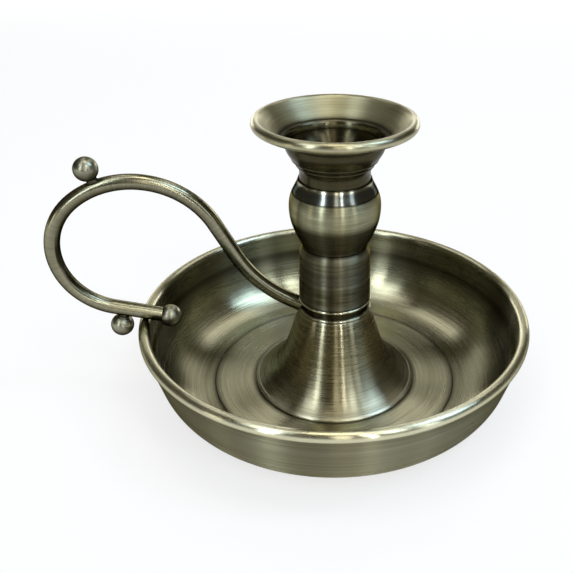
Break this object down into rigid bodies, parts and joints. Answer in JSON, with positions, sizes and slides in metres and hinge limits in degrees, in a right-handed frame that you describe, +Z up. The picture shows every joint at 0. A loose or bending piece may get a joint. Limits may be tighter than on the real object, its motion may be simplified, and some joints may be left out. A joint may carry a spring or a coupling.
{
  "type": "taper candle holder",
  "caption": "Chamberstick for a taper candle: a drip pan with a rolled rim, a turned stem with a flared cup, and a looped rod handle with ball finials.",
  "frame": {"origin": "on the stem's axis at the plane the pan stands on", "axes": "+Z up along the candle, -X towards the handle, +Y completes the right-handed frame"},
  "size_m": [0.1675, 0.14, 0.1017],
  "materials": {
    "pan_brass": "antiqued, finely brushed round the axis",
    "stem_brass": "antiqued, finely turned, half gloss",
    "rod_brass": "antiqued, satin",
    "plated_steel": "zinc plated"
  },
  "bodies": {
    "root": {"drip_pan": "pan_brass", "trumpet_foot": "stem_brass", "joint_ring": "stem_brass", "column_sleeve": "stem_brass", "urn_shell": "stem_brass", "socket_tube": "stem_brass", "flared_cup": "stem_brass", "handle_rod": "rod_brass", "thumb_ball": "rod_brass", "under_ball": "rod_brass", "end_ball": "rod_brass", "tie_screw": "plated_steel", "cup_washer": "plated_steel", "pan_washer": "plated_steel", "tie_nut": "plated_steel"}
  },
  "joints": []
}
